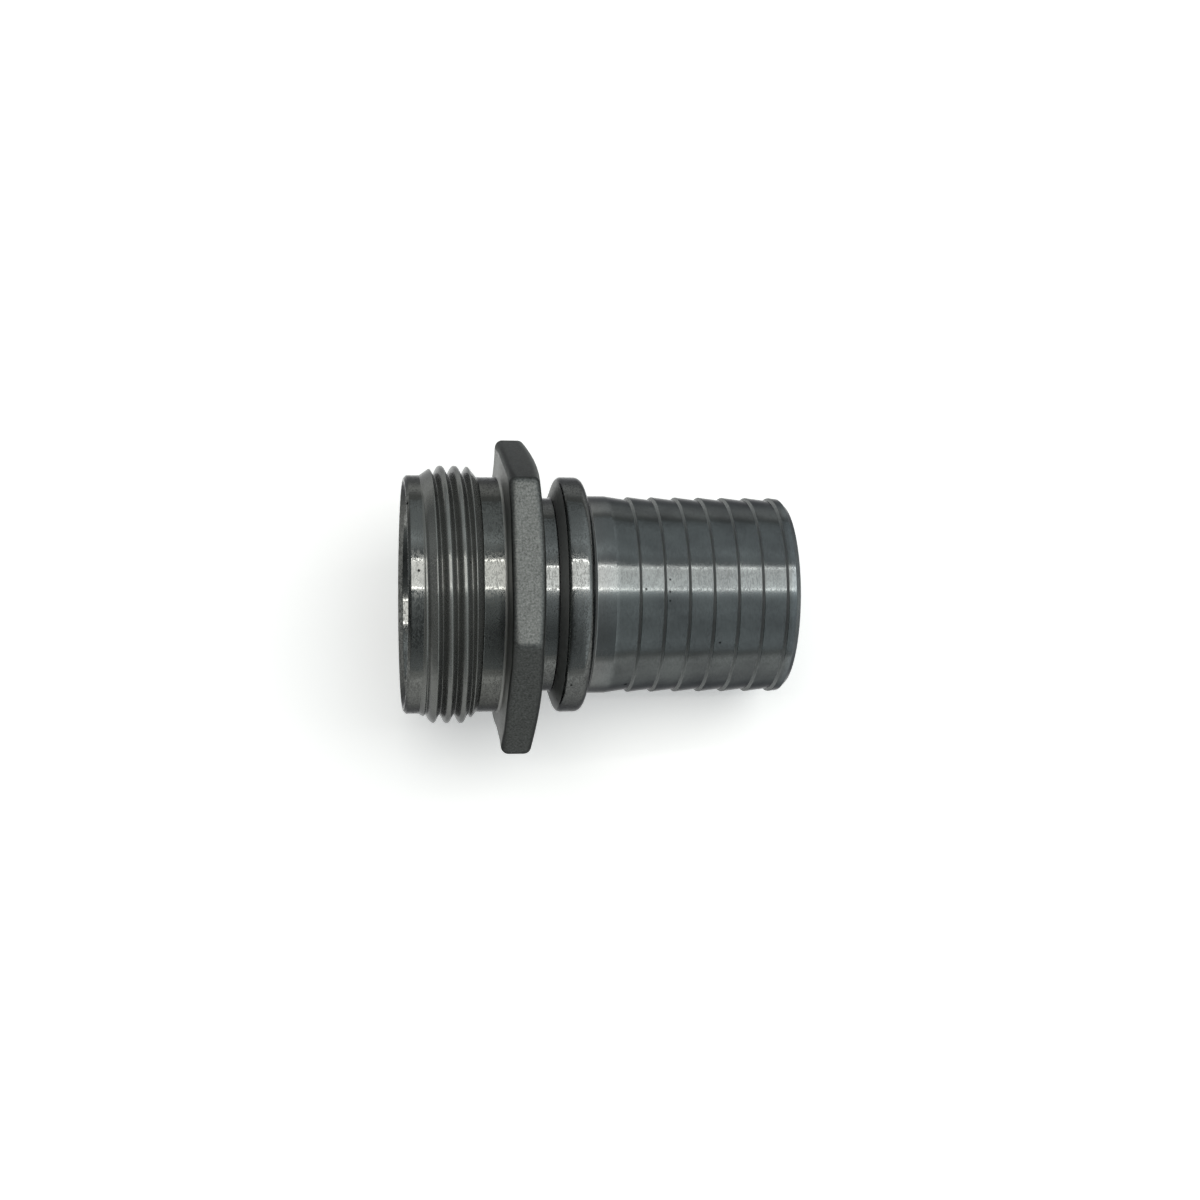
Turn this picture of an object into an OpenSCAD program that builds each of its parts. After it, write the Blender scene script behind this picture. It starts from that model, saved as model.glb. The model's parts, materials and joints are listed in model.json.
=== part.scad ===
// One-piece hose connector: a parallel pipe thread, a hexagon, a clamp collar and
// a serrated tail that a 32 mm hose is pushed onto. Cast in stainless steel in one
// piece, then turned, bored and threaded. It lies as it comes to rest, on an edge of
// the hexagon and the end of the tail. Millimetres.

/* [Pipe thread] */
// Diameter over the thread crests (G 1 1/4 parallel pipe thread)
thread_major_d = 41.91; // [40.5:0.01:43.5]
// Distance from one turn of the thread to the next
thread_pitch = 2.309; // [2.2:0.001:2.6]
// Height of the thread, from root to crest
thread_depth = 1.479; // [0.9:0.001:1.5]
// Angle between the two flanks of the thread
thread_angle = 55; // [50:1:59]
// Width of the flat along the thread crest
crest_w = 0.62; // [0.4:0.01:0.7]
// Turn of the thread's start about the axis, in degrees
thread_start = -37; // [-180:1:180]
// Length of the thread, from the front land to where its run-out cone ends
thread_len = 9.2; // [8:0.1:14]
// Angle of the lead-in cone, measured from the axis
lead_angle = 35; // [30:1:45]
// Angle of the run-out cone, measured from the axis
run_out_angle = 52; // [40:1:60]

/* [Front land and relief] */
// Length of the plain land ahead of the thread
land_len = 2.5; // [1.5:0.1:4]
// How far the front land lies below the thread root
land_step = 0.11; // [0.05:0.01:0.3]
// Width of the small bevel round the front edge
front_bevel = 0.45; // [0.2:0.05:0.7]
// Length of the turned relief between the thread and the hexagon
relief_len = 3.6; // [2:0.01:6]
// How far the relief lies below the thread root
relief_step = 0.33; // [0.15:0.01:0.6]

/* [Hexagon] */
// Width across the flats of the hexagon
hex_af = 45.9; // [44:0.1:50]
// Length of the hexagon along the axis
hex_len = 5.65; // [4:0.05:12]
// Radius of the soft cast edges of the hexagon
hex_round = 1.2; // [0.4:0.1:1.4]
// How far the corners of the hexagon are cut back on the side of the thread
hex_front_cut = 0.2; // [0:0.05:0.6]
// How far the corners of the hexagon are cut back on the side of the hose
hex_back_cut = 0.6; // [0:0.05:1]
// Radius of the fillets at the foot of the hexagon
foot_fillet = 0.5; // [0.3:0.1:0.8]

/* [Neck and collar] */
// Diameter of the neck between the hexagon and the collar
neck_d = 31.6; // [30.5:0.1:33]
// Length of the neck
neck_len = 2.83; // [2:0.01:6]
// Diameter of the collar that a hose clamp hooks behind
collar_d = 38.5; // [36:0.1:40]
// Width of the top of the collar, between the centres of its rounded edges
collar_top_w = 2.05; // [1.5:0.05:5]
// Radius of the rounded edge of the collar towards the thread
collar_front_round = 0.8; // [0.4:0.05:1.2]
// Radius of the rounded edge of the collar towards the hose
collar_back_round = 1.25; // [0.4:0.05:1.5]
// Slope of the face of the collar towards the thread, measured from square
collar_front_slope = 20; // [5:1:30]
// Slope of the face of the collar towards the hose, measured from square
collar_back_slope = 20; // [5:1:30]

/* [Hose tail] */
// Diameter of the plain seat behind the collar
seat_d = 32.4; // [32.1:0.01:33]
// Length of the plain seat
seat_len = 3.15; // [1:0.05:6]
// Length of the taper from the seat to the first serration
lead_taper_len = 4.1; // [2:0.1:6]
// Number of serrations that grip the hose
barb_count = 7; // [4:1:9]
// Distance from one serration to the next
barb_pitch = 3.95; // [3:0.05:5]
// Diameter over the serrations, the bore of the hose
barb_d = 32.2; // [31.5:0.01:33]
// Height of each serration
barb_depth = 0.45; // [0.15:0.01:0.6]
// Length of the steep face of each serration
barb_face_len = 0.45; // [0.2:0.01:0.7]
// Length of the land after the last serration
end_land_len = 1.15; // [0.5:0.05:4]
// Length of the bevel at the hose end
end_bevel_len = 0.85; // [0.5:0.05:1.2]
// Height of the bevel at the hose end
end_bevel_h = 0.85; // [0.5:0.05:1.1]

/* [Bore] */
// Wall between the thread root and the front bore
front_wall = 2.476; // [1.7:0.001:6]
// Depth of the front bore
front_bore_len = 13; // [6:0.1:14.5]
// Length of the cone that joins the two bores
bore_cone_len = 6.5; // [4:0.1:8]
// Wall between the foot of the serrations and the tail bore
tail_wall = 2.4; // [1.8:0.01:5]
// Depth of the countersink in the front face
lip_len = 0.72; // [0.3:0.02:1]
// Height of the countersink in the front face
lip_h = 1; // [0.3:0.05:1.1]
// Length of the cone from the countersink to the front bore
mouth_cone_len = 2.4; // [1:0.1:4]
// Height of that cone
mouth_cone_h = 0.5; // [0.2:0.05:0.6]
// Bevel inside the hose end
tail_bore_bevel = 0.3; // [0.1:0.05:0.6]

/* [Hidden] */
steel_grey = [0.55, 0.57, 0.57];
$fn = 96;
arc_steps = 6;
thread_steps = 64;
edge_fn = 20;

// Radii
crest_r = thread_major_d / 2;
root_r = crest_r - thread_depth;
land_r = root_r - land_step;
face_r = land_r - front_bevel;
relief_r = root_r - relief_step;
neck_r = neck_d / 2;
collar_r = collar_d / 2;
seat_r = seat_d / 2;
barb_r = barb_d / 2;
valley_r = barb_r - barb_depth;
end_land_r = barb_r - barb_depth * end_land_len / barb_pitch;
front_bore_r = root_r - front_wall;
mouth_r = front_bore_r + mouth_cone_h;
tail_bore_r = valley_r - tail_wall;

// Stations along the axis, from the front face
lead_top_z = land_len + (crest_r - land_r) / tan(lead_angle);
relief_z = land_len + thread_len;
run_out_z = relief_z - (crest_r - relief_r) / tan(run_out_angle);
hex_z = relief_z + relief_len;
neck_z = hex_z + hex_len;
collar_z = neck_z + neck_len;

// Collar: the rounded edges touch the top and the sloping sides
front_arc_r = collar_r - collar_front_round;
back_arc_r = collar_r - collar_back_round;
front_tangent_r = front_arc_r + collar_front_round * sin(collar_front_slope);
back_tangent_r = back_arc_r + collar_back_round * sin(collar_back_slope);
front_face_len = (front_tangent_r - neck_r) * tan(collar_front_slope);
back_face_len = (back_tangent_r - seat_r) * tan(collar_back_slope);
front_arc_z = collar_z + front_face_len + collar_front_round * cos(collar_front_slope);
back_arc_z = front_arc_z + collar_top_w;
tail_z = back_arc_z + collar_back_round * cos(collar_back_slope) + back_face_len;

// Hose tail: the crests of the serrations, the end land and the end
barb_z = [for (i = [0:barb_count - 1]) tail_z + seat_len + lead_taper_len + i * barb_pitch];
end_land_z = barb_z[barb_count - 1] + end_land_len;
full_len = end_land_z + end_bevel_len;

// At rest an edge of the hexagon and the corner of the end land touch the table
rest_run = end_land_z - neck_z + hex_round;
rest_drop = hex_af / 2 - hex_round - end_land_r;
rest_tilt = atan2(rest_drop, rest_run) + asin(hex_round / norm([rest_run, rest_drop]));
rest_height = end_land_z * sin(rest_tilt) + end_land_r * cos(rest_tilt);
reach_front = -face_r * sin(rest_tilt);
reach_back = full_len * cos(rest_tilt) + (end_land_r - end_bevel_h) * sin(rest_tilt);
rest_mid_x = (reach_front + reach_back) / 2;

// Points on an arc, in steps from one angle to the other
function arc(centre, r, from, to) =
    [for (i = [0:arc_steps]) let (a = from + (to - from) * i / arc_steps)
        centre + r * [cos(a), sin(a)]];

// Outline of the turned blank, as radius and height, from the front to the back
function front_outline() = concat(
    [[face_r, 0], [land_r, front_bevel], [land_r, land_len], [crest_r, lead_top_z]],
    [[crest_r, run_out_z], [relief_r, relief_z]],
    arc([relief_r + foot_fillet, hex_z - foot_fillet], foot_fillet, 180, 90));

function collar_outline() = concat(
    arc([neck_r + foot_fillet, neck_z + foot_fillet], foot_fillet, 270, 180),
    [[neck_r, collar_z]],
    arc([front_arc_r, front_arc_z], collar_front_round, collar_front_slope - 90, 0),
    arc([back_arc_r, back_arc_z], collar_back_round, 0, 90 - collar_back_slope),
    [[seat_r, tail_z]]);

function tail_outline() = concat(
    [[seat_r, tail_z + seat_len]],
    [for (i = [0:barb_count - 1]) each [[valley_r, barb_z[i] - barb_face_len], [barb_r, barb_z[i]]]],
    [[end_land_r, end_land_z], [end_land_r - end_bevel_h, full_len]]);

module turned_blank() {
    rotate_extrude()
        polygon(concat([[0, 0]], front_outline(), collar_outline(), tail_outline(), [[0, full_len]]));
}

// Hexagon with cast edges and both its faces cut back towards the corners, one flat towards -X
module hexagon() {
    apothem = hex_af / 2 - hex_round;
    hull()
        for (side = [0:5], turn = [-30:15:15]) {
            along = apothem * tan(turn);
            share = (1 / cos(turn) - 1) / (1 / cos(30) - 1);
            for (z = [hex_z + hex_round + share * hex_front_cut, neck_z - hex_round - share * hex_back_cut])
                rotate([0, 0, side * 60])
                    translate([apothem, along, z])
                        sphere(r = hex_round, $fn = edge_fn);
        }
}

// The threading tool's path: a right-handed V that winds past both ends of the thread
module thread_groove() {
    half_angle = thread_angle / 2;
    tool_half_w = (thread_pitch - crest_w / 2) / 2;
    tool_r = crest_r + crest_w / 4 / tan(half_angle);
    root_half_w = (thread_pitch - crest_w) / 2 - thread_depth * tan(half_angle);
    profile = [[root_r, -root_half_w], [tool_r, -tool_half_w], [tool_r, tool_half_w], [root_r, root_half_w]];
    start_z = land_len - tool_half_w;
    steps = ceil((relief_z + tool_half_w - start_z) / thread_pitch * thread_steps);
    corners = len(profile);
    points = [for (i = [0:steps], p = profile)
        let (a = thread_start + i * 360 / thread_steps)
        [p[0] * cos(a), p[0] * sin(a), start_z + p[1] + i * thread_pitch / thread_steps]];
    sides = [for (i = [0:steps - 1], j = [0:corners - 1])
        let (a = i * corners + j, b = i * corners + (j + 1) % corners)
        each [[a, b, a + corners], [b, b + corners, a + corners]]];
    ends = [[for (j = [corners - 1:-1:0]) j], [for (j = [0:corners - 1]) steps * corners + j]];
    polyhedron(points = points, faces = concat(sides, ends));
}

module bore() {
    cone_z = front_bore_len + bore_cone_len;
    spill = 1;
    rotate_extrude()
        polygon([
            [0, -spill], [mouth_r + lip_h, -spill], [mouth_r + lip_h, 0], [mouth_r, lip_len],
            [front_bore_r, lip_len + mouth_cone_len], [front_bore_r, front_bore_len], [tail_bore_r, cone_z],
            [tail_bore_r, full_len - tail_bore_bevel], [tail_bore_r + tail_bore_bevel, full_len],
            [tail_bore_r + tail_bore_bevel, full_len + spill], [0, full_len + spill]]);
}

module hose_tail() {
    color(steel_grey)
        translate([-rest_mid_x, 0, rest_height])
            rotate([0, 90 + rest_tilt, 0])
                difference() {
                    union() {
                        turned_blank();
                        hexagon();
                    }
                    thread_groove();
                    bore();
                }
}

hose_tail();
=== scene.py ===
import json
import math

import bpy
import numpy as np
from mathutils import Matrix, Vector


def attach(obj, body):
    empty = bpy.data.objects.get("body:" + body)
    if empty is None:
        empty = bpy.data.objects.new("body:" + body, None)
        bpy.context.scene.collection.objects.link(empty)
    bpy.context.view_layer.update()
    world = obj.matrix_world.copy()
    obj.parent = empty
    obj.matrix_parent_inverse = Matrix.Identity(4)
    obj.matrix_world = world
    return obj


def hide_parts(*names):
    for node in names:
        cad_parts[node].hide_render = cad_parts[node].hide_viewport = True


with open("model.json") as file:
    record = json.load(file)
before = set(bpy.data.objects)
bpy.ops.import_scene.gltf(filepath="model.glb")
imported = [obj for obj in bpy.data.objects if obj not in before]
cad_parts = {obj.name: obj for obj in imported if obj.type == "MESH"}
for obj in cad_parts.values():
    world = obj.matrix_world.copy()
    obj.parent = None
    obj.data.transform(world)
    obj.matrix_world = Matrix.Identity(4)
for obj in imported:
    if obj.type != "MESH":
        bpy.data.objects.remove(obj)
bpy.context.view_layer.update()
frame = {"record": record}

# The camera. It looks almost straight down on the connector from a third of a metre away, a little
# from the near side and turned so far that the mouth just shows. The axes come from the part's own
# mounts, and the front face from the middle of its front bore. Lengths here are millimetres.
MM = 0.001
MOUNTS = {m["name"]: m for m in frame["record"]["mounts"]}
AXIS = Vector(MOUNTS["hose_seat"]["axis"])
FLAT_UP = Vector(MOUNTS["upper_spanner_flat"]["axis"])
SIDE = Vector((0, 1, 0))
FRONT_BORE_MIDDLE = 8.06
FRONT = Vector(MOUNTS["front_bore"]["pos_m"]) - AXIS * FRONT_BORE_MIDDLE * MM

CAMERA_AIM = 32.4
CAMERA_DISTANCE = 315
CAMERA_LOWER = 0.908
CAMERA_TURN = math.radians(8.4)
CAMERA_LEAN = math.radians(12.5)
toward_camera = FLAT_UP * math.cos(CAMERA_LEAN) - SIDE * math.sin(CAMERA_LEAN)
image_up = FLAT_UP * math.sin(CAMERA_LEAN) + SIDE * math.cos(CAMERA_LEAN)
image_right = AXIS * math.cos(CAMERA_TURN) + toward_camera * math.sin(CAMERA_TURN)
image_back = toward_camera * math.cos(CAMERA_TURN) - AXIS * math.sin(CAMERA_TURN)
camera = bpy.data.objects.new("camera", bpy.data.cameras.new("camera"))
bpy.context.collection.objects.link(camera)
camera.data.lens = 57.26
camera.data.sensor_width = 36
camera.data.clip_start = 0.01
camera.data.clip_end = 50
stand = FRONT + (AXIS * CAMERA_AIM + image_back * CAMERA_DISTANCE - image_up * CAMERA_LOWER) * MM
camera_axes = Matrix((image_right, image_up, image_back)).transposed().to_4x4()
camera.matrix_world = Matrix.Translation(stand) @ camera_axes
bpy.context.scene.camera = camera

# The turned outside. The connector is one investment casting in stainless steel, and all that is
# round on its outside is turned in a lathe: the front land, the thread blank, the relief, the neck,
# the collar and the hose tail with its seven serrations. Stations run from the front face, in
# millimetres like all sizes of the part.
CREST_R = MOUNTS["pipe_thread"]["dims"]["r_mm"]
COLLAR_R = MOUNTS["clamp_collar"]["dims"]["r_mm"]
SEAT_R = MOUNTS["hose_seat"]["dims"]["r_mm"]
THREAD_DEPTH = 1.479
ROOT_R = CREST_R - THREAD_DEPTH
LAND_R = ROOT_R - 0.11
RELIEF_R = ROOT_R - 0.33
MOUTH_RIM_R = 18.7
FRONT_BEVEL = 0.45
LAND_END = 2.5
RELIEF_START = 11.7
HEX_START = 15.3
HEX_END = 20.95
FOOT_FILLET = 0.5
NECK_R = 15.8
NECK_END = 23.782
COLLAR_ROUNDS = (0.8, 1.25)
COLLAR_ARCS = (25.596, 27.646)
COLLAR_SLOPE = 20
TAIL_START = 29.631
SEAT_END = TAIL_START + 3.15
BARB_R = 16.1
BARB_DEPTH = 0.45
BARB_FACE = 0.45
BARB_PITCH = 3.95
LEAD_TAPER = 4.1
BARBS = [SEAT_END + LEAD_TAPER + i * BARB_PITCH for i in range(7)]
END_LAND_LENGTH = 1.15
END_BEVEL = 0.85
END_LAND = BARBS[-1] + END_LAND_LENGTH
END_LAND_R = BARB_R - BARB_DEPTH * END_LAND_LENGTH / BARB_PITCH
LENGTH = END_LAND + END_BEVEL
TAIL_RIM_R = 14.2


def rounded(corners, longest=1.2):
    """A turned outline. Each corner is (station, radius, corner radius) and is broken by an arc, as
    the tool leaves it. An arc takes at most 42 % of a side, and no step is longer than the longest."""
    corner_points = [np.array(c[:2], float) for c in corners]
    outline = []
    for i, (point, corner) in enumerate(zip(corner_points, corners)):
        if not corner[2] or i in (0, len(corner_points) - 1):
            outline.append(point)
            continue
        before = corner_points[i - 1] - point
        after = corner_points[i + 1] - point
        room = min(np.linalg.norm(before), np.linalg.norm(after)) * 0.42
        before = before / np.linalg.norm(before)
        after = after / np.linalg.norm(after)
        half = math.acos(max(-1, min(1, float(before @ after)))) / 2
        reach = min(corner[2] / math.tan(half), room)
        radius = reach * math.tan(half)
        centre = point + (before + after) / np.linalg.norm(before + after) * radius / math.sin(half)
        start = point + before * reach - centre
        end = point + after * reach - centre
        sweep = math.atan2(start[0] * end[1] - start[1] * end[0], float(start @ end))
        steps = 3 if abs(sweep) < 0.9 else 5
        outline.append(centre + start + before * reach * 0.3)
        for k in range(steps + 1):
            c = math.cos(sweep * k / steps)
            s = math.sin(sweep * k / steps)
            outline.append(centre + np.array([c * start[0] - s * start[1], s * start[0] + c * start[1]]))
        outline.append(centre + end + after * reach * 0.3)
    full = [outline[0]]
    for point in outline[1:]:
        parts = max(1, math.ceil(np.linalg.norm(point - full[-1]) / longest))
        full += [full[-1] + (point - full[-1]) * (k + 1) / parts for k in range(parts)]
    return full


def arc(centre, radius, start, end, steps=8):
    """Points on an arc in the plane of station and radius, angles in degrees from the station axis."""
    bends = np.radians(np.linspace(start, end, steps + 1))
    return [np.array((centre[0] + radius * math.cos(a), centre[1] + radius * math.sin(a))) for a in bends]


land_outline = rounded([(0, MOUTH_RIM_R, 0), (0, LAND_R - FRONT_BEVEL, 0.12), (FRONT_BEVEL, LAND_R, 0.2),
                        (LAND_END - 0.15, LAND_R, 0)])
relief_outline = rounded([(RELIEF_START + 0.25, RELIEF_R, 0), (HEX_START - FOOT_FILLET, RELIEF_R, 0)])
relief_outline += arc((HEX_START - FOOT_FILLET, RELIEF_R + FOOT_FILLET), FOOT_FILLET, -90, 0)[1:]

front_edge = arc((COLLAR_ARCS[0], COLLAR_R - COLLAR_ROUNDS[0]), COLLAR_ROUNDS[0], 180 - COLLAR_SLOPE, 90)
back_edge = arc((COLLAR_ARCS[1], COLLAR_R - COLLAR_ROUNDS[1]), COLLAR_ROUNDS[1], 90, COLLAR_SLOPE)
collar_top = [np.array((s, COLLAR_R)) for s in np.linspace(COLLAR_ARCS[0], COLLAR_ARCS[1], 4)[1:-1]]
neck_outline = arc((HEX_END + FOOT_FILLET, NECK_R + FOOT_FILLET), FOOT_FILLET, 180, 270)
neck_outline += rounded([(HEX_END + FOOT_FILLET + 0.1, NECK_R, 0), (NECK_END, NECK_R, 0.3),
                         tuple(front_edge[0]) + (0,)])[:-1]

tail_corners = [tuple(back_edge[-1]) + (0,), (TAIL_START, SEAT_R, 0.25), (SEAT_END, SEAT_R, 0.3)]
for barb in BARBS:
    tail_corners.append((barb - BARB_FACE, BARB_R - BARB_DEPTH, 0.12))
    tail_corners.append((barb - 0.1, BARB_R, 0.18))
tail_corners.append((END_LAND, END_LAND_R, 0.2))
tail_corners.append((LENGTH, END_LAND_R - END_BEVEL, 0.15))
tail_corners.append((LENGTH, TAIL_RIM_R, 0))
tail_outline = rounded(tail_corners)[1:]

# The hexagon for a 46 mm spanner, with its flats left as cast. Its edges are soft, and its corners
# are cut back by a cone on both sides. The columns of the mesh lie closest at the corners: an angle
# of 0 is the flat underneath, 180 the flat on top and 270 the near side.
HEX_APOTHEM = 22.95
HEX_ROUND = 1.2
FRONT_CUT = 0.2
BACK_CUT = 0.6
CORE_APOTHEM = HEX_APOTHEM - HEX_ROUND
CORE_HALF_FLAT = CORE_APOTHEM * math.tan(math.radians(30))
CORNER_EASE = 0.025
CORNER_ARC = 30 - math.degrees(math.atan(CORE_HALF_FLAT / HEX_APOTHEM))
across_flat = np.linspace(-30 + CORNER_ARC + 0.3, 30 - CORNER_ARC - 0.3, 26)
round_corner = np.linspace(30 - CORNER_ARC, 30 + CORNER_ARC, 9)
sector = np.concatenate([across_flat, round_corner])
angles = np.concatenate([sector + 60 * k for k in range(6)])
from_flat = np.abs((angles + 30) % 60 - 30)
COLUMNS = len(angles)
turn = np.radians(angles)
outward = -np.outer(np.cos(turn), FLAT_UP) + np.outer(np.sin(turn), SIDE)


def hexagon_radius(grown):
    """Radius at each column of the hexagon's core grown by that much, so that its corners are arcs."""
    apothem = CORE_APOTHEM + grown
    flat = apothem / np.cos(np.radians(from_flat))
    corner = CORE_APOTHEM / math.cos(math.radians(30)) - CORNER_EASE
    off = np.radians(30 - from_flat)
    on_arc = corner * np.cos(off) + np.sqrt(np.maximum(grown ** 2 - (corner * np.sin(off)) ** 2, 0))
    edge = math.degrees(math.atan(CORE_HALF_FLAT / apothem))
    return np.where(from_flat <= edge, flat, on_arc)


def cut_back(radius):
    """Share of the cone that cuts back the hexagon, from 0 inside the flats to 1 at the corners."""
    return np.clip((radius / CORE_APOTHEM - 1) / (1 / math.cos(math.radians(30)) - 1), 0, 1)


core = hexagon_radius(0.0)
rim = hexagon_radius(HEX_ROUND)
foot = np.full(COLUMNS, CORE_APOTHEM - 0.3)
lifts = np.radians(np.linspace(0, 90, 8))

# The edge towards the thread is crisper along the flats, and well rounded at the corners.
CRISP_ROUND = 0.8
CRISP_CUT = 0.38
at_corner = np.clip((from_flat - 20) / 8, 0, 1)
front_round = CRISP_ROUND + (HEX_ROUND - CRISP_ROUND) * at_corner
front_face = HEX_START + CRISP_CUT + (FRONT_CUT - CRISP_CUT) * at_corner
hexagon_rings = [(HEX_START, foot, "faced"),
                 (HEX_START + (front_face - HEX_START) * 0.9, rim - front_round - 0.25, "cast")]
for lift in lifts:
    station = front_face + front_round * (1 - math.cos(lift))
    hexagon_rings.append((station, rim - front_round * (1 - math.sin(lift)), "cast"))

flat_start = HEX_START + HEX_ROUND + FRONT_CUT * cut_back(core)
flat_end = HEX_END - HEX_ROUND - BACK_CUT * cut_back(core)
for share in (0.1, 0.5, 0.9):
    hexagon_rings.append((flat_start + share * (flat_end - flat_start), rim, "cast"))

back_face = HEX_END - BACK_CUT * cut_back(core)
for lift in lifts[::-1]:
    station = back_face - HEX_ROUND * (1 - math.cos(lift))
    hexagon_rings.append((station, hexagon_radius(HEX_ROUND * math.sin(lift)), "cast"))
hexagon_rings.append((HEX_END - BACK_CUT * cut_back(core - 0.2), core - 0.2, "cast"))
hexagon_rings.append((HEX_END, foot, "cast"))

# The thread, a right-handed G 1 1/4 pipe thread cut in the turned blank with a 55 degree tool. It
# runs in over a lead cone and out over a run-out cone, and the tool leaves its crests and roots a
# little round.
PITCH = 2.309
HALF_ANGLE = math.radians(27.5)
CREST_W = 0.62
ROOT_HALF_W = (PITCH - CREST_W) / 2 - THREAD_DEPTH * math.tan(HALF_ANGLE)
THREAD_AT = 1.5005
THREAD_TURN = 37
LEAD_SLOPE = math.tan(math.radians(35))
RUN_OUT_SLOPE = math.tan(math.radians(50))
ROOT_ROUND = 0.35
CREST_ROUND = 0.4
CONE_ROUND = 0.12
FOOT_ROUND = 0.08
THREAD_MIDDLE = 7
ROW_STEP = 0.06


def blend_low(a, b, width):
    """The lower of two outlines, with the corner between them rounded over that width."""
    h = np.maximum(width - np.abs(a - b), 0) / width
    return np.minimum(a, b) - h * h * width / 4


def blend_high(a, b, width):
    """The higher of two outlines, with the corner between them rounded over that width."""
    return -blend_low(-a, -b, width)


def thread_radius(station):
    """Radius at each column of the threaded length at one station."""
    groove = THREAD_AT + PITCH * (angles + THREAD_TURN) / 360
    off = np.abs((station - groove + PITCH / 2) % PITCH - PITCH / 2)
    root = np.full(COLUMNS, ROOT_R + 0.02)
    flank = blend_high(root + (off - ROOT_HALF_W) / math.tan(HALF_ANGLE), root, ROOT_ROUND)
    lead = LAND_R + (station - LAND_END) * LEAD_SLOPE
    run_out = RELIEF_R + (RELIEF_START - station) * RUN_OUT_SLOPE
    blank = blend_low(blend_low(lead, CREST_R, CONE_ROUND), run_out, CONE_ROUND)
    cut = blend_low(np.full(COLUMNS, blank), flank, CREST_ROUND)
    under = LAND_R if station < THREAD_MIDDLE else RELIEF_R
    return blend_high(cut, np.full(COLUMNS, under), FOOT_ROUND)


# The bore. A countersunk mouth leads over a short cone to a wide bore, and a longer cone to the bore
# of the tail, which comes out through a small bevel. It is bored from both ends.
FRONT_BORE_R = MOUNTS["front_bore"]["dims"]["r_mm"]
TAIL_BORE_R = MOUNTS["tail_bore"]["dims"]["r_mm"]
LIP_END = 0.72
MOUTH_END = 3.12
FRONT_BORE_END = 13
TAIL_BORE_START = 19.5
mouth_outline = rounded([(MOUTH_END, FRONT_BORE_R, 0), (LIP_END, FRONT_BORE_R + 0.5, 0.2),
                         (0, FRONT_BORE_R + 1.5, 0.15), (0, MOUTH_RIM_R, 0)])[:-1]
bore_outline = rounded([(LENGTH, TAIL_RIM_R, 0), (LENGTH, TAIL_BORE_R + 0.3, 0.06),
                        (LENGTH - 0.3, TAIL_BORE_R, 0.1), (TAIL_BORE_START, TAIL_BORE_R, 0.6),
                        (FRONT_BORE_END, FRONT_BORE_R, 0.6), (MOUTH_END, FRONT_BORE_R, 0)], 4)[1:-1]

# The body, one closed skin made of rings: along the outside to the hose end and back through the
# bore. Each ring has its station, its radius at every column and the finish that follows it. What
# a form tool scrapes is faced: the hexagon's side towards the thread, both sides of the collar and
# the steps of the serrations.
FINISHES = ("turned", "threaded", "faced", "tail", "cast", "bored")


def round_ring(point, finish):
    """A ring with the same radius at every column."""
    return point[0], np.full(COLUMNS, point[1]), finish


def tail_finish(station):
    """Faced on the back of the collar and on the step of each serration, fine turned elsewhere."""
    on_step = any(barb - BARB_FACE - 0.02 < station < barb - 0.12 for barb in BARBS)
    return "faced" if station < TAIL_START - 0.05 or on_step else "tail"


rings = [round_ring(point, "turned") for point in land_outline]
for station in np.arange(LAND_END - 0.1, RELIEF_START + 0.2, ROW_STEP):
    finish = "threaded" if station < RELIEF_START - 0.12 else "turned"
    rings.append((station, thread_radius(station), finish))
for point in relief_outline:
    finish = "faced" if point[0] > HEX_START - FOOT_FILLET + 0.01 else "turned"
    rings.append(round_ring(point, finish))
rings += hexagon_rings
for point in neck_outline + front_edge + collar_top + back_edge:
    finish = "faced" if NECK_END + 0.05 < point[0] < front_edge[0][0] - 0.01 else "turned"
    rings.append(round_ring(point, finish))
rings += [round_ring(point, tail_finish(point[0])) for point in tail_outline]
outer_count = len(rings)
rings += [round_ring(point, "bored") for point in bore_outline]
rings += [round_ring(point, "turned") for point in mouth_outline]

count = len(rings)
stations = np.array([np.broadcast_to(station, COLUMNS) for station, _, _ in rings])
radii = np.array([radius for _, radius, _ in rings])
points = np.array(FRONT) + (stations[..., None] * np.array(AXIS) + radii[..., None] * outward) * MM
ring, column = np.meshgrid(np.arange(count), np.arange(COLUMNS), indexing="ij")
next_ring = (ring + 1) % count
next_column = (column + 1) % COLUMNS
corners = (ring * COLUMNS + column, next_ring * COLUMNS + column,
           next_ring * COLUMNS + next_column, ring * COLUMNS + next_column)
faces = np.stack(corners, axis=-1).reshape(-1, 4)
finish_numbers = np.repeat([FINISHES.index(finish) for _, _, finish in rings], COLUMNS)

mesh = bpy.data.meshes.new("hose_connector_body")
mesh.from_pydata(points.reshape(-1, 3).tolist(), [], faces.tolist())
mesh.polygons.foreach_set("use_smooth", np.ones(len(faces), bool))
mesh.polygons.foreach_set("material_index", finish_numbers.astype(np.int32))

# The skin is unrolled, so that the sheen can follow the turning marks: U runs along the outline and
# V round the part, both with one unit to 100 mm.
UNIT = 100
ROUND_LENGTH = 120
outline_points = np.stack([stations.mean(axis=1), radii.mean(axis=1)], axis=-1)
steps_along = np.linalg.norm(np.diff(outline_points, axis=0), axis=1)
along = np.concatenate([[0], np.cumsum(steps_along)]) / UNIT
along = np.append(along, along[-1] + 0.2 / UNIT)
around = np.append(angles, angles[0] + 360) / 360 * ROUND_LENGTH / UNIT
u = np.stack([along[ring], along[ring + 1], along[ring + 1], along[ring]], axis=-1).reshape(-1)
v = np.stack([around[column], around[column], around[column + 1], around[column + 1]], axis=-1).reshape(-1)
unrolled = mesh.uv_layers.new(name="unrolled")
unrolled.data.foreach_set("uv", np.stack([u, v], axis=-1).reshape(-1))
mesh.update()
body = bpy.data.objects.new("hose_connector_body", mesh)
bpy.context.collection.objects.link(body)


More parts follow.
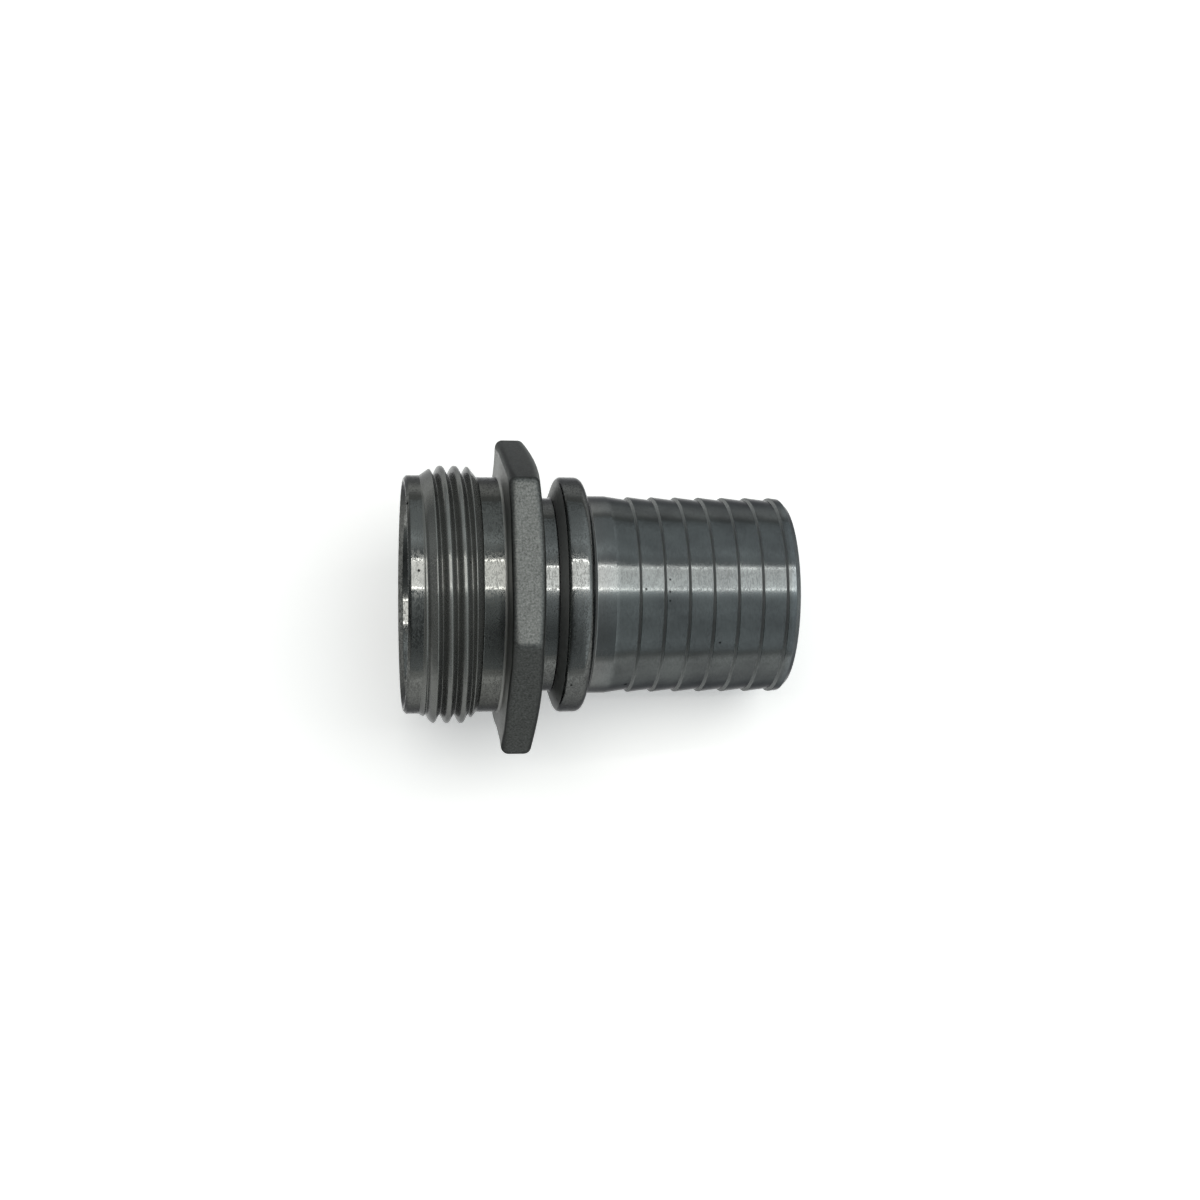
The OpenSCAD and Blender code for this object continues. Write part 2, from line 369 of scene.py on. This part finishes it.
# Turned stainless steel. It is bright metal, but dark grey to the eye, because it mirrors a dim
# room. The feed marks of the tool run round it and draw the sheen out along the axis, and small
# scuffs break up the reflection of the lamp. Where it turns away, its colour and its edge tint
# carry a painted shade.
def linear(code, alpha=1.0):
    """An sRGB hex colour as linear values."""
    parts = [int(code[i:i + 2], 16) / 255 for i in (1, 3, 5)]
    return tuple(c / 12.92 if c <= 0.04045 else ((c + 0.055) / 1.055) ** 2.4 for c in parts) + (alpha,)


def node(tree, kind, links=None, ramp=None, **settings):
    """Adds a node. Settings are its properties, links go to its sockets, and a link may be a value."""
    made = tree.nodes.new(kind)
    for name, value in settings.items():
        setattr(made, name, value)
    for socket, source in (links or {}).items():
        target = made.inputs[socket]
        if isinstance(source, bpy.types.NodeSocket):
            tree.links.new(source, target)
        else:
            target.default_value = source
    if ramp:
        elements = made.color_ramp.elements
        while len(elements) < len(ramp):
            elements.new(0.5)
        for element, (position, colour) in zip(elements, ramp):
            element.position = position
            element.color = linear(colour) if isinstance(colour, str) else (colour, colour, colour, 1)
    return made


def new_material(name):
    """A material with an empty node tree."""
    material = bpy.data.materials.new(name)
    material.use_nodes = True
    material.node_tree.nodes.clear()
    return material, material.node_tree


TILT = math.atan2(-AXIS.z, AXIS.x)
FEED = 0.16
FEED_LENGTH = 9
SCUFF = (0.27, 0.648, 0.432)
STAIN = 6
# Edge tints for the metal. They paint shade at grazing angles: strongly on the lathe-turned and cast steel,
# lightly on the faced steps.
GRAZING_SHADE_TINT = (0.42, 0.42, 0.43, 1)
STEP_TINT = (0.8, 0.8, 0.8, 1)
# How bright the metal is along the part: the front land, the thread, the relief and neck, the
# collar and seat, the serrations and the last land.
TONE_ALONG = [(0, "#ecece9"), (2.4, "#ecece9"), (3, "#fafaf8"), (11.2, "#fafaf8"), (11.55, "#d8d8d4"),
              (15.3, "#d8d8d4"), (21, "#dadbda"), (29.6, "#dadbda"), (32.6, "#cfd3d3"), (33.4, "#adb1b1"),
              (60.8, "#abafb0"), (61.2, "#bcc2c5"), (LENGTH, "#bcc2c5")]
# The small dark nicks from handling: station, angle and size.
TURNED_NICKS = [(1.6, 181.8, 0.25), (0.15, 144.5, 0.34), (25.95, 240.7, 0.22)]
THREAD_NICKS = [(9.56, 178.3, 0.26)]
FACED_NICKS = [(24.46, 263.8, 0.3)]
TAIL_NICKS = [(37.4, 189.6, 0.22), (35.7, 260.1, 0.36), (34.55, 267.6, 0.28), (41.24, 184.2, 0.2),
              (41.21, 191.1, 0.2), (41.22, 196.2, 0.18), (36.55, 188.8, 0.18), (49.63, 221.3, 0.2)]


def nick_place(station, angle):
    """Where a nick lies on the outside of the part."""
    nearest_ring = int(np.abs(stations[:outer_count, 0] - station).argmin())
    nearest_column = int(np.abs(angles - angle).argmin())
    out = -math.cos(math.radians(angle)) * FLAT_UP + math.sin(math.radians(angle)) * SIDE
    return FRONT + (AXIS * station + out * float(radii[nearest_ring, nearest_column])) * MM


def turned_metal(name, tones, bare, tint, smooth, rough, scuffed, grazing_shade, nicks):
    """Stainless steel from the lathe: bare is its metallic share, tint its edge tint, which paints
    shade at grazing angles, smooth and rough are its roughness off and on the scuffs, scuffed its
    brightness on them and grazing_shade the painted shade of its colour where it turns away."""
    material, tree = new_material(name)
    place = node(tree, "ShaderNodeTexCoord").outputs["Object"]
    tipped = (0, TILT, 0)

    from_front = node(tree, "ShaderNodeMapping", {"Vector": place, "Location": FRONT, "Rotation": tipped,
                      "Scale": (LENGTH * MM,) * 3}, vector_type="TEXTURE")
    from_front = node(tree, "ShaderNodeSeparateXYZ", {"Vector": from_front.outputs[0]})
    tone_along = node(tree, "ShaderNodeValToRGB", {"Fac": from_front.outputs["X"]},
                      ramp=[(station / LENGTH, code) for station, code in TONE_ALONG])
    feed_place = node(tree, "ShaderNodeMapping", {"Vector": place, "Rotation": tipped,
                      "Scale": (FEED * MM, FEED_LENGTH * MM, FEED_LENGTH * MM)}, vector_type="TEXTURE")
    feed = node(tree, "ShaderNodeTexNoise", {"Vector": feed_place.outputs[0], "Scale": 1.0, "Detail": 2.0})
    scuff_place = node(tree, "ShaderNodeMapping", {"Vector": place, "Rotation": tipped,
                       "Scale": [size * MM for size in SCUFF]}, vector_type="TEXTURE")
    scuff = node(tree, "ShaderNodeTexNoise", {"Vector": scuff_place.outputs[0], "Scale": 1.0, "Detail": 2.0,
                 "Roughness": 0.6, "Distortion": 1.2})
    stain_place = node(tree, "ShaderNodeMapping", {"Vector": place, "Scale": (STAIN * MM,) * 3},
                       vector_type="TEXTURE")
    stain = node(tree, "ShaderNodeTexNoise", {"Vector": stain_place.outputs[0], "Scale": 1.0, "Detail": 3.0})

    facing = node(tree, "ShaderNodeLayerWeight", {"Blend": 0.5}).outputs["Facing"]
    darkening = [node(tree, "ShaderNodeValToRGB", {"Fac": stain.outputs["Fac"]},
                      ramp=[(0.3, tones[0]), (0.7, tones[1])]),
                 tone_along,
                 node(tree, "ShaderNodeValToRGB", {"Fac": scuff.outputs["Fac"]},
                      ramp=[(0.45, scuffed), (0.53, 1.0)]),
                 # Painted shade: the colour darkens where the surface turns away from the camera.
                 node(tree, "ShaderNodeValToRGB", {"Fac": facing},
                      ramp=[(0.24, 1.0), (0.36, grazing_shade), (0.6, grazing_shade), (0.8, grazing_shade * 0.5)])]
    nearest = None
    for station, angle, size in nicks:
        off = node(tree, "ShaderNodeVectorMath", {0: place, 1: nick_place(station, angle)},
                   operation="DISTANCE")
        off = node(tree, "ShaderNodeMath", {0: off.outputs["Value"], 1: size * MM}, operation="DIVIDE")
        if nearest:
            off = node(tree, "ShaderNodeMath", {0: nearest.outputs[0], 1: off.outputs[0]},
                       operation="MINIMUM")
        nearest = off
    darkening.append(node(tree, "ShaderNodeMapRange", {"Value": nearest.outputs[0], "From Min": 0.6,
                          "From Max": 1.1, "To Min": 0.06, "To Max": 1.0}))
    colour = darkening[0].outputs[0]
    for layer in darkening[1:]:
        colour = node(tree, "ShaderNodeMix", {"Factor": 1.0, "A": colour, "B": layer.outputs[0]},
                      data_type="RGBA", blend_type="MULTIPLY").outputs[2]

    roughness = node(tree, "ShaderNodeMapRange", {"Value": scuff.outputs["Fac"], "From Min": 0.45,
                     "From Max": 0.53, "To Min": rough, "To Max": smooth})
    feed_bump = node(tree, "ShaderNodeBump", {"Height": feed.outputs["Fac"], "Strength": 0.25,
                     "Distance": 0.004 * MM})
    scuff_bump = node(tree, "ShaderNodeBump", {"Height": scuff.outputs["Fac"], "Strength": 0.15,
                      "Distance": 0.01 * MM, "Normal": feed_bump.outputs[0]})
    round_part = node(tree, "ShaderNodeTangent", direction_type="UV_MAP", uv_map="unrolled")
    steel = node(tree, "ShaderNodeBsdfPrincipled", {"Base Color": colour, "Metallic": bare,
                 "Roughness": roughness.outputs[0], "Specular Tint": tint, "Anisotropic": 0.7,
                 "Normal": scuff_bump.outputs[0], "Tangent": round_part.outputs[0]})
    node(tree, "ShaderNodeOutputMaterial", {"Surface": steel.outputs[0]})
    return material


turned_steel = turned_metal("turned_stainless_steel", ("#909190", "#9c9d9c"), 1.0, GRAZING_SHADE_TINT,
                            0.09, 0.34, 0.75, 0.5, TURNED_NICKS)
# Thread-cut stainless steel: duller and partly diffuse, with a painted shade where it turns away.
threaded_steel = turned_metal("thread_cut_stainless_steel", ("#838482", "#8f908e"), 0.62, GRAZING_SHADE_TINT,
                              0.2, 0.3, 0.93, 0.66, THREAD_NICKS)
# Form-turned stainless steel, the steps that a wide tool scrapes: satin, with no sharp reflection.
faced_steel = turned_metal("form_turned_stainless_steel", ("#b0b1b0", "#bbbcbb"), 0.6, STEP_TINT,
                           0.42, 0.48, 0.95, 0.72, FACED_NICKS)
# Fine-turned stainless steel, the hose tail: more even than the thicker parts, with fewer scuffs.
tail_steel = turned_metal("fine_turned_stainless_steel", ("#8b8b8b", "#a1a2a1"), 1.0, GRAZING_SHADE_TINT,
                          0.15, 0.25, 0.88, 0.72, TAIL_NICKS)

# Cast stainless steel, the flats of the hexagon, blasted clean as they came from the shell mould.
# The fine pits of mould and blasting scatter the light, so the flats are matt and grainy. Their
# colour carries a painted shade where they turn away, lightened again at grazing angles as a
# painted light rim. The pits are 0.15 mm wide, and drawn twice as coarse so that they show.
GRIT = 0.32
LUMP = 1.6
cast_steel, tree = new_material("blasted_cast_stainless_steel")
place = node(tree, "ShaderNodeTexCoord").outputs["Object"]
grit_place = node(tree, "ShaderNodeMapping", {"Vector": place, "Scale": (GRIT * MM,) * 3},
                  vector_type="TEXTURE")
grit = node(tree, "ShaderNodeTexNoise", {"Vector": grit_place.outputs[0], "Scale": 1.0, "Detail": 3.0,
            "Roughness": 0.65})
lump_place = node(tree, "ShaderNodeMapping", {"Vector": place, "Scale": (LUMP * MM,) * 3},
                  vector_type="TEXTURE")
lump = node(tree, "ShaderNodeTexNoise", {"Vector": lump_place.outputs[0], "Scale": 1.0, "Detail": 2.0})
pitted = node(tree, "ShaderNodeValToRGB", {"Fac": grit.outputs["Fac"]},
              ramp=[(0.28, "#4a4c4a"), (0.7, "#7b7d7b")])
facing = node(tree, "ShaderNodeLayerWeight", {"Blend": 0.5}).outputs["Facing"]
# Painted shade: darker where the flats turn away, with a painted light rim at grazing angles.
painted_away_shade = node(tree, "ShaderNodeValToRGB", {"Fac": facing},
                   ramp=[(0.2, 1.0), (0.33, 0.64), (0.6, 0.26), (0.74, 0.2), (0.84, 0.9)])
cast_colour = node(tree, "ShaderNodeMix", {"Factor": 1.0, "A": pitted.outputs["Color"],
                   "B": painted_away_shade.outputs["Color"]}, data_type="RGBA", blend_type="MULTIPLY")
lump_bump = node(tree, "ShaderNodeBump", {"Height": lump.outputs["Fac"], "Strength": 0.5,
                 "Distance": 0.05 * MM})
grit_bump = node(tree, "ShaderNodeBump", {"Height": grit.outputs["Fac"], "Strength": 0.6,
                 "Distance": 0.05 * MM, "Normal": lump_bump.outputs[0]})
cast = node(tree, "ShaderNodeBsdfPrincipled", {"Base Color": cast_colour.outputs[2], "Metallic": 0.85,
            "Roughness": 0.5, "Specular Tint": GRAZING_SHADE_TINT, "Normal": grit_bump.outputs[0]})
node(tree, "ShaderNodeOutputMaterial", {"Surface": cast.outputs[0]})

# Bored stainless steel, the inside. The boring bar leaves coarser rings than the turning tool, so
# the bore is satin, with rings of lighter and darker grey.
BORING_FEED = 0.3
RING_LENGTH = 20
bored_steel, tree = new_material("bored_stainless_steel")
place = node(tree, "ShaderNodeTexCoord").outputs["Object"]
ring_place = node(tree, "ShaderNodeMapping", {"Vector": place, "Rotation": (0, TILT, 0),
                  "Scale": (BORING_FEED * MM, RING_LENGTH * MM, RING_LENGTH * MM)}, vector_type="TEXTURE")
ring_marks = node(tree, "ShaderNodeTexNoise", {"Vector": ring_place.outputs[0], "Scale": 1.0, "Detail": 2.0})
bore_tone = node(tree, "ShaderNodeValToRGB", {"Fac": ring_marks.outputs["Fac"]},
                 ramp=[(0.35, "#7b7e7c"), (0.65, "#8f9290")])
bore_bump = node(tree, "ShaderNodeBump", {"Height": ring_marks.outputs["Fac"], "Strength": 0.5,
                 "Distance": 0.01 * MM})
bored = node(tree, "ShaderNodeBsdfPrincipled", {"Base Color": bore_tone.outputs["Color"], "Metallic": 1.0,
             "Roughness": 0.34, "Normal": bore_bump.outputs[0]})
node(tree, "ShaderNodeOutputMaterial", {"Surface": bored.outputs[0]})

for material in (turned_steel, threaded_steel, faced_steel, tail_steel, cast_steel, bored_steel):
    mesh.materials.append(material)
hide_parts("hose_tail")
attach(body, "root")

# The floor, a sheet of matt white board that fades to pale grey far out. It looks near white to the
# camera and in reflections, where it has a little light of its own, and it keeps the soft shadow.
# Its sizes are metres.
FLOOR_HALF = 6.0
SHEET_HALF = 0.112
FADE_END = 0.3
SHEET_GLOW = 0.38
floor_mesh = bpy.data.meshes.new("floor")
floor_corners = [(x * FLOOR_HALF, y * FLOOR_HALF, 0) for x, y in ((-1, -1), (1, -1), (1, 1), (-1, 1))]
floor_mesh.from_pydata(floor_corners, [], [(0, 1, 2, 3)])
floor = bpy.data.objects.new("floor", floor_mesh)
bpy.context.collection.objects.link(floor)
board_paint, tree = new_material("matt_white_board")
spot = node(tree, "ShaderNodeSeparateXYZ", {"Vector": node(tree, "ShaderNodeTexCoord").outputs["Object"]})
away_x = node(tree, "ShaderNodeMath", {0: spot.outputs["X"]}, operation="ABSOLUTE")
away_y = node(tree, "ShaderNodeMath", {0: spot.outputs["Y"]}, operation="ABSOLUTE")
away = node(tree, "ShaderNodeMath", {0: away_x.outputs[0], 1: away_y.outputs[0]}, operation="MAXIMUM")
fade = node(tree, "ShaderNodeMapRange", {"Value": away.outputs[0], "From Min": SHEET_HALF,
            "From Max": FADE_END})
board_colour = node(tree, "ShaderNodeValToRGB", {"Fac": fade.outputs[0]},
                    ramp=[(0.0, "#fafaf8"), (1.0, "#bcbcba")])
board = node(tree, "ShaderNodeBsdfPrincipled", {"Base Color": board_colour.outputs["Color"], "Roughness": 0.9,
             "Specular IOR Level": 0.2})
path = node(tree, "ShaderNodeLightPath")
seen = node(tree, "ShaderNodeMath", {0: path.outputs["Is Camera Ray"], 1: path.outputs["Is Glossy Ray"]},
            operation="MAXIMUM")
seen = node(tree, "ShaderNodeMath", {0: seen.outputs[0], 1: path.outputs["Is Transmission Ray"]},
            operation="MAXIMUM")
strength = node(tree, "ShaderNodeMapRange", {"Value": fade.outputs[0], "To Min": SHEET_GLOW, "To Max": 0.0})
strength = node(tree, "ShaderNodeMath", {0: seen.outputs[0], 1: strength.outputs[0]}, operation="MULTIPLY")
glow = node(tree, "ShaderNodeEmission", {"Color": (1, 1, 1, 1), "Strength": strength.outputs[0]})
lit_board = node(tree, "ShaderNodeAddShader", {0: board.outputs[0], 1: glow.outputs[0]})
node(tree, "ShaderNodeOutputMaterial", {"Surface": lit_board.outputs[0]})
floor_mesh.materials.append(board_paint)

# The lamps: a long soft lamp over the far side of the part, with a brighter tube along each of its
# long edges. Each is a rectangle that faces the part from three metres away, between two angles up
# the picture, in degrees from the camera.
LAMP_DISTANCE = 3.0
LAMP_REACH = 0.6
LAMP_COLOUR = (1, 0.985, 0.955)


def strip_lamp(name, low, high, radiance):
    """A lamp along the part's axis between two angles up the picture."""
    middle = math.radians((low + high) / 2)
    spread = math.radians((high - low) / 2)
    away = toward_camera * math.cos(middle) + image_up * math.sin(middle)
    data = bpy.data.lights.new(name, "AREA")
    data.shape = "RECTANGLE"
    data.size = 2 * LAMP_DISTANCE * math.tan(math.asin(LAMP_REACH))
    data.size_y = 2 * LAMP_DISTANCE * math.tan(spread)
    data.energy = radiance * math.pi * data.size * data.size_y
    data.color = LAMP_COLOUR
    lamp = bpy.data.objects.new(name, data)
    bpy.context.collection.objects.link(lamp)
    lamp_axes = Matrix((AXIS, away.cross(AXIS), away)).transposed().to_4x4()
    lamp.matrix_world = Matrix.Translation(FRONT + AXIS * CAMERA_AIM * MM + away * LAMP_DISTANCE) @ lamp_axes


strip_lamp("soft_lamp", 5, 33.8, 2.0)
strip_lamp("near_tube", 4.8, 7, 4.2)
strip_lamp("far_tube", 31.7, 33.8, 4.2)

# The room, dim all round. Its light goes by the bearing about the part's length, in degrees from
# straight up, with the far side at 90 and the near side at -90. It is lighter behind the lamps and
# darkest on the near side, lighter all round past the hose end, and darker ahead of the mouth.
ROOM = [(-180, 0.3), (-92, 0.24), (-82, 0.22), (-75, 0.17), (-66, 0.11), (-54, 0.08), (-42, 0.09), (-36, 0.1),
        (-24, 0.13), (-12, 0.2), (26, 0.2), (30, 0.23), (41, 0.58), (48, 0.5), (54, 0.4), (66, 0.38),
        (72, 0.42), (80, 0.58), (92, 0.68), (180, 0.3)]
ROOM_PAST_TAIL = [(-180, 0.3), (-92, 0.5), (-86, 0.62), (-78, 0.68), (-66, 0.58), (-48, 0.56), (-36, 0.68),
                  (-24, 0.62), (-18, 0.74), (-12, 1.1), (-8, 1.1), (26, 0.48), (36, 0.66), (41, 0.84),
                  (54, 0.66), (66, 0.66), (76, 0.75), (92, 0.85), (180, 0.3)]
ROOM_TINT = (0.93, 1.015, 1.045, 1)
world = bpy.data.worlds.new("dim_room")
bpy.context.scene.world = world
world.use_nodes = True
world.node_tree.nodes.clear()
tree = world.node_tree
way = node(tree, "ShaderNodeSeparateXYZ", {"Vector": node(tree, "ShaderNodeTexCoord").outputs["Generated"]})
bearing = node(tree, "ShaderNodeMath", {0: way.outputs["Y"], 1: way.outputs["Z"]}, operation="ARCTAN2")
turned_by = node(tree, "ShaderNodeMapRange", {"Value": bearing.outputs[0], "From Min": -math.pi,
                 "From Max": math.pi})
room = node(tree, "ShaderNodeValToRGB", {"Fac": turned_by.outputs[0]},
            ramp=[((degrees + 180) / 360, light) for degrees, light in ROOM])
room_past_tail = node(tree, "ShaderNodeValToRGB", {"Fac": turned_by.outputs[0]},
                      ramp=[((degrees + 180) / 360, light) for degrees, light in ROOM_PAST_TAIL])
past_tail = node(tree, "ShaderNodeMapRange", {"Value": way.outputs["X"], "From Min": 0.2, "From Max": 0.34})
rooms = node(tree, "ShaderNodeMix", {"Factor": past_tail.outputs[0], "A": room.outputs["Color"],
             "B": room_past_tail.outputs["Color"]}, data_type="RGBA")
cool = node(tree, "ShaderNodeMix", {"Factor": 1.0, "A": rooms.outputs[2], "B": ROOM_TINT},
            data_type="RGBA", blend_type="MULTIPLY")
ahead = node(tree, "ShaderNodeMapRange", {"Value": way.outputs["X"], "From Min": -0.55, "From Max": -0.25,
             "To Min": 0.45, "To Max": 1.0})
sky = node(tree, "ShaderNodeBackground", {"Color": cool.outputs[2], "Strength": ahead.outputs[0]})
node(tree, "ShaderNodeOutputWorld", {"Surface": sky.outputs[0]})

bpy.context.scene.view_settings.view_transform = "Standard"
